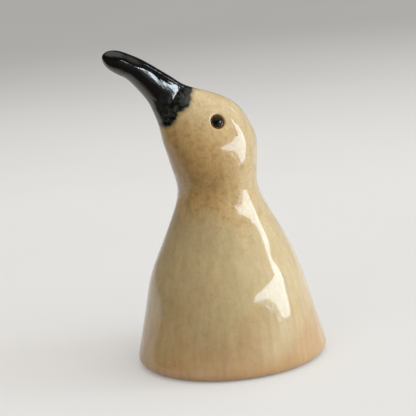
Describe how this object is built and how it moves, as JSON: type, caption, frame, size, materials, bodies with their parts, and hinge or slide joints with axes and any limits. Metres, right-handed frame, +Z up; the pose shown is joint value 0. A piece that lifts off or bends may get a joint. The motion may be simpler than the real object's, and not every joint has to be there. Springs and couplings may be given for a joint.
{
  "type": "curlew figurine",
  "caption": "Standing curlew ornament in glossy glazed stoneware: a hollow bell-shaped body with neck and head, a black downcurved beak and domed black eyes.",
  "frame": {"origin": "middle of the flat standing face, on the underside of the base disc", "axes": "+Z up, -Y the way the bird faces, +X its left side"},
  "size_m": [0.0624, 0.0656, 0.1054],
  "materials": {
    "honey_glaze": "clear gloss over honey and olive-beige",
    "black_glaze": "gloss black with brown where it breaks",
    "bare_clay": "matte unglazed stoneware"
  },
  "bodies": {
    "root": {"body_shell": "honey_glaze", "base_disc": "bare_clay", "beak": "black_glaze", "eye_left": "black_glaze", "eye_right": "black_glaze"}
  },
  "joints": []
}
